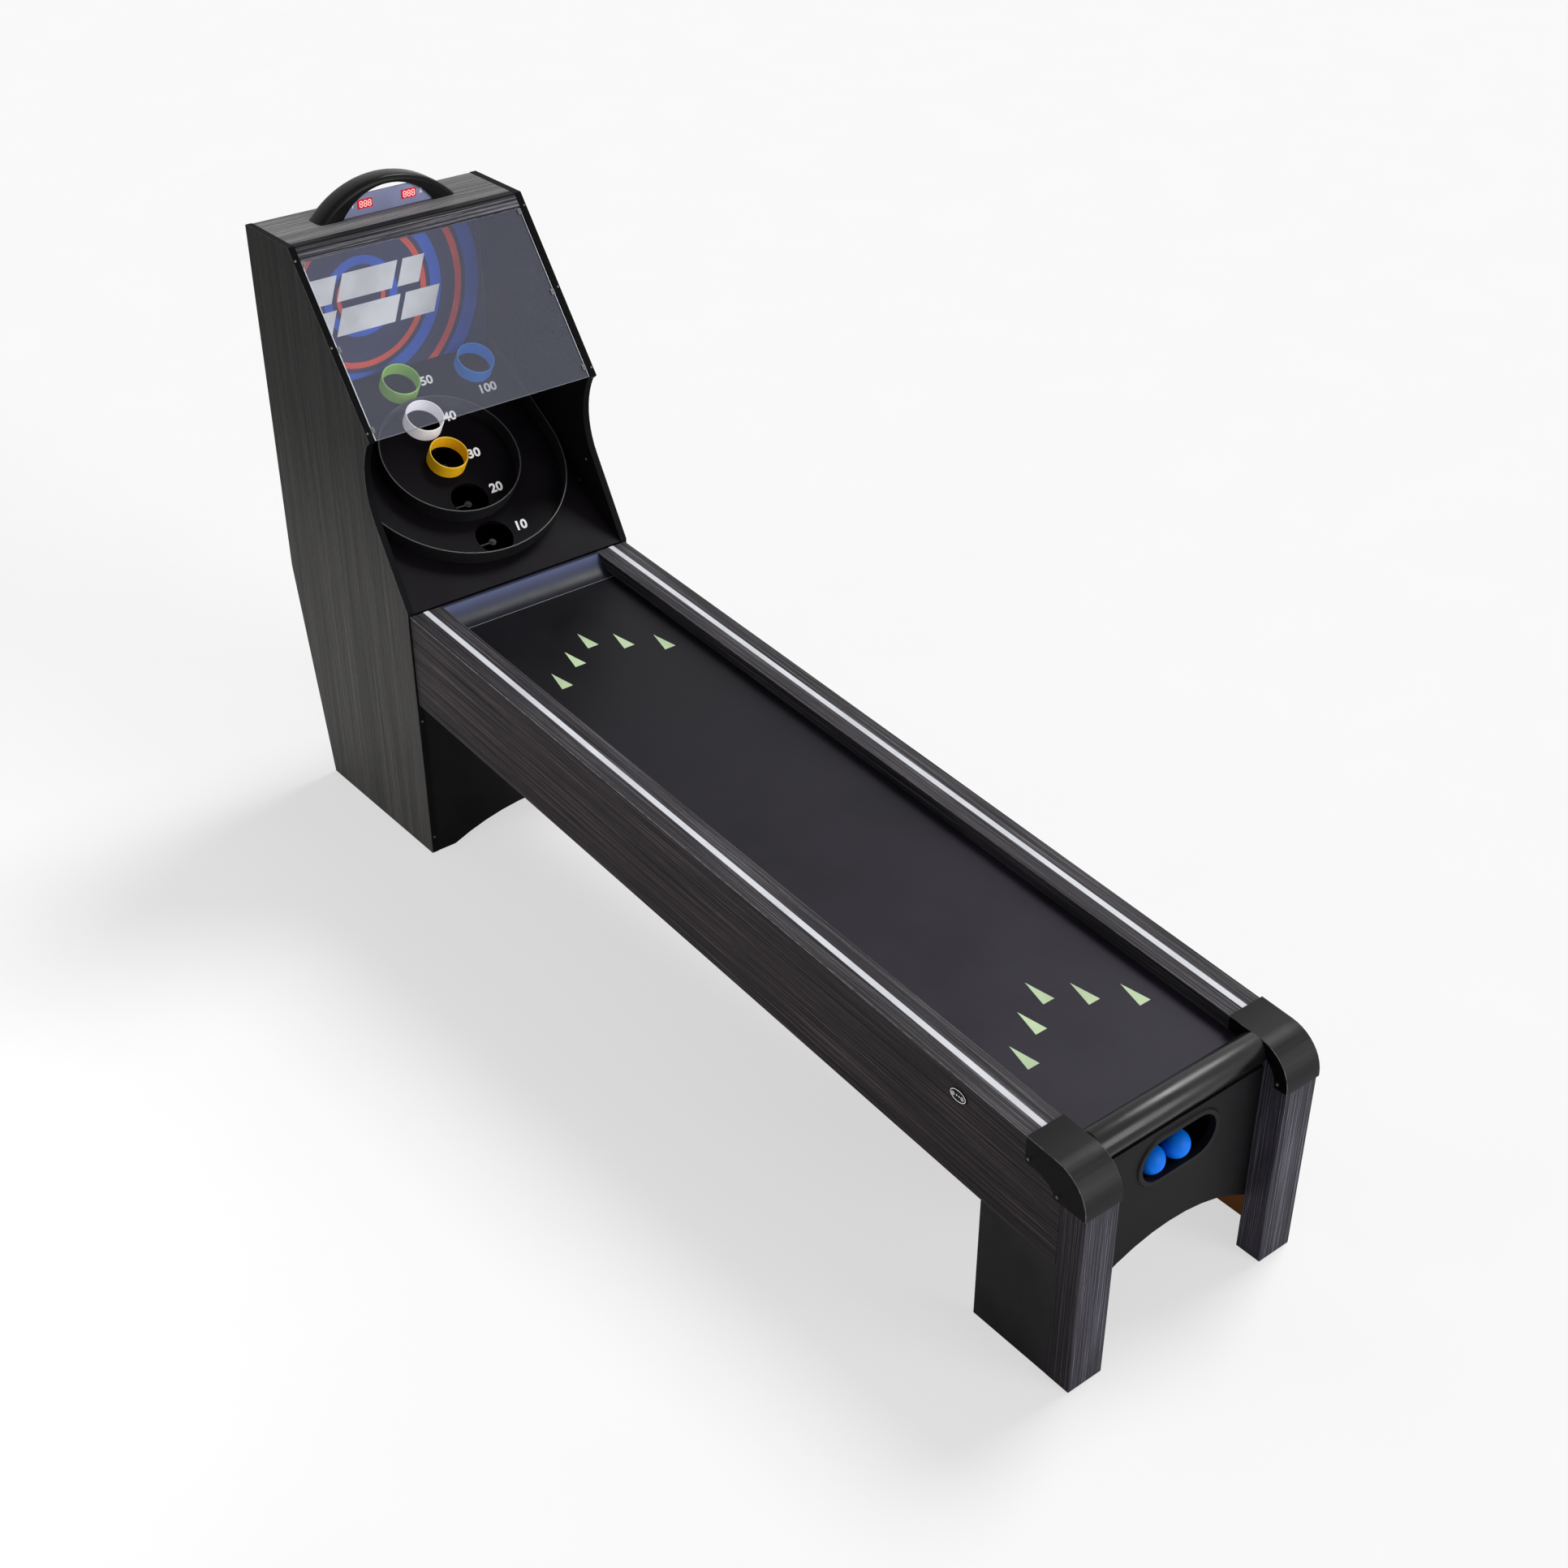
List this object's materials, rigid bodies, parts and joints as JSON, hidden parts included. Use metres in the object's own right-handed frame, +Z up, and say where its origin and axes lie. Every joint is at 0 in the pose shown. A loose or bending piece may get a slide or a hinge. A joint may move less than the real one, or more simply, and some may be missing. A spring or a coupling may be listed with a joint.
{
  "type": "roll and score game table",
  "caption": "Home ball-rolling game table: sloped lane with lit rails, hop ramp, hooded target board with score cups and ball sensors, scoreboard arch, ball return chute and slot.",
  "frame": {"origin": "centre of the bounding box on the floor", "axes": "+Y runs along the lane from the player's end to the cabinet, +X is to the player's right, +Z is up"},
  "size_m": [0.62, 2.79, 1.5205],
  "materials": {
    "printed_board": "printed thin board",
    "ball_blue": "blue",
    "black_plastic": "satin black moulded plastic",
    "black_laminate": "black laminate on board",
    "dark_woodgrain": "charcoal wood-grain laminate on board",
    "clear_sheet": "clear tinted sheet",
    "black_bar": "satin black",
    "raw_fibreboard": "raw fibreboard",
    "ramp_surface": "dark satin with a blue-grey sheen",
    "lane_surface": "matte black lane laminate",
    "light_diffuser": "milky diffuser",
    "display_red": "red display window",
    "button_white": "pale grey",
    "cup_yellow": "yellow",
    "cup_white": "white",
    "cup_green": "green",
    "cup_blue": "blue",
    "circuit_green": "green circuit board",
    "face_grey": "grey-purple printed face",
    "lever_grey": "dark grey"
  },
  "bodies": {
    "table": {"backboard": "printed_board", "ball_return_chute": "black_plastic", "ball_trough": "black_plastic", "cabinet_front_panel": "black_laminate", "cabinet_top": "dark_woodgrain", "catch_tray": "black_laminate", "centre_sensor_rail": "black_plastic", "clear_shield": "clear_sheet", "control_bezel": "black_plastic", "front_bar": "black_bar", "front_lane_bearer": "raw_fibreboard", "front_panel": "black_laminate", "header_fascia": "dark_woodgrain", "hop_ramp": "ramp_surface", "lane_board": "lane_surface", "large_score_hoop": "black_plastic", "left_cabinet_side": "dark_woodgrain", "left_corner_cap": "black_plastic", "left_front_post": "dark_woodgrain", "left_leg_panel": "black_laminate", "left_light_strip": "light_diffuser", "left_rail_cap": "dark_woodgrain", "left_score_display": "display_red", "left_sensor_rail": "black_plastic", "left_side_board": "dark_woodgrain", "lower_back_panel": "black_laminate", "power_inlet": "black_plastic", "rear_lane_bearer": "raw_fibreboard", "right_cabinet_side": "dark_woodgrain", "right_corner_cap": "black_plastic", "right_front_post": "dark_woodgrain", "right_leg_panel": "black_laminate", "right_light_strip": "light_diffuser", "right_rail_cap": "dark_woodgrain", "right_score_display": "display_red", "right_sensor_rail": "black_plastic", "right_side_board": "dark_woodgrain", "score_cup_30": "cup_yellow", "score_cup_40": "cup_white", "score_cup_50": "cup_green", "score_cup_left_100": "cup_blue", "score_cup_right_100": "cup_blue", "scoreboard_arch": "black_plastic", "scoreboard_circuit": "circuit_green", "scoreboard_face": "face_grey", "slot_bezel": "black_plastic", "small_score_hoop": "black_plastic", "target_board": "black_laminate", "upper_back_panel": "black_laminate"},
    "sensor_lever_10": {"sensor_lever_10": "lever_grey"},
    "sensor_lever_20": {"sensor_lever_20": "lever_grey"},
    "sensor_lever_30": {"sensor_lever_30": "lever_grey"},
    "sensor_lever_40": {"sensor_lever_40": "lever_grey"},
    "sensor_lever_50": {"sensor_lever_50": "lever_grey"},
    "sensor_lever_left_100": {"sensor_lever_left_100": "lever_grey"},
    "sensor_lever_right_100": {"sensor_lever_right_100": "lever_grey"},
    "light_button": {"light_button": "button_white"},
    "sound_button": {"sound_button": "button_white"},
    "ball_1": {"ball_1": "ball_blue"},
    "ball_2": {"ball_2": "ball_blue"}
  },
  "joints": [
    {"name": "sensor_lever_10_press", "type": "hinge", "parent": "table", "child": "sensor_lever_10", "pos_m": [-0.06, 0.93104, 0.71445], "axis": [0, 0.8526, 0.5225], "range_deg": [0, 50], "stiffness_Nm_per_rad": 0.004, "springref_deg": -28.65},
    {"name": "sensor_lever_20_press", "type": "hinge", "parent": "table", "child": "sensor_lever_20", "pos_m": [-0.06, 1.03165, 0.7761], "axis": [0, 0.8526, 0.5225], "range_deg": [0, 50], "stiffness_Nm_per_rad": 0.004, "springref_deg": -28.65},
    {"name": "sensor_lever_30_press", "type": "hinge", "parent": "table", "child": "sensor_lever_30", "pos_m": [-0.06, 1.13227, 0.83776], "axis": [0, 0.8526, 0.5225], "range_deg": [0, 50], "stiffness_Nm_per_rad": 0.004, "springref_deg": -28.65},
    {"name": "sensor_lever_40_press", "type": "hinge", "parent": "table", "child": "sensor_lever_40", "pos_m": [-0.06, 1.23288, 0.89941], "axis": [0, 0.8526, 0.5225], "range_deg": [0, 50], "stiffness_Nm_per_rad": 0.004, "springref_deg": -28.65},
    {"name": "sensor_lever_50_press", "type": "hinge", "parent": "table", "child": "sensor_lever_50", "pos_m": [-0.06, 1.33349, 0.96107], "axis": [0, 0.8526, 0.5225], "range_deg": [0, 50], "stiffness_Nm_per_rad": 0.004, "springref_deg": -28.65},
    {"name": "sensor_lever_left_100_press", "type": "hinge", "parent": "table", "child": "sensor_lever_left_100", "pos_m": [-0.2736, 1.33349, 0.96107], "axis": [0, 0.8526, 0.5225], "range_deg": [0, 50], "stiffness_Nm_per_rad": 0.004, "springref_deg": -28.65},
    {"name": "sensor_lever_right_100_press", "type": "hinge", "parent": "table", "child": "sensor_lever_right_100", "pos_m": [0.1536, 1.33349, 0.96107], "axis": [0, 0.8526, 0.5225], "range_deg": [0, 50], "stiffness_Nm_per_rad": 0.004, "springref_deg": -28.65},
    {"name": "light_button_press", "type": "slide", "parent": "table", "child": "light_button", "axis": [1, 0, 0], "range_m": [0, 0.0015], "stiffness_N_per_m": 400, "springref_m": -0.002},
    {"name": "sound_button_press", "type": "slide", "parent": "table", "child": "sound_button", "axis": [1, 0, 0], "range_m": [0, 0.0015], "stiffness_N_per_m": 400, "springref_m": -0.002},
    {"name": "ball_1_take_out", "type": "slide", "parent": "table", "child": "ball_1", "axis": [0, -0.9063, 0.4226], "range_m": [0, 0.12]},
    {"name": "ball_2_take_out", "type": "slide", "parent": "table", "child": "ball_2", "axis": [0, -0.9063, 0.4226], "range_m": [0, 0.12]}
  ]
}
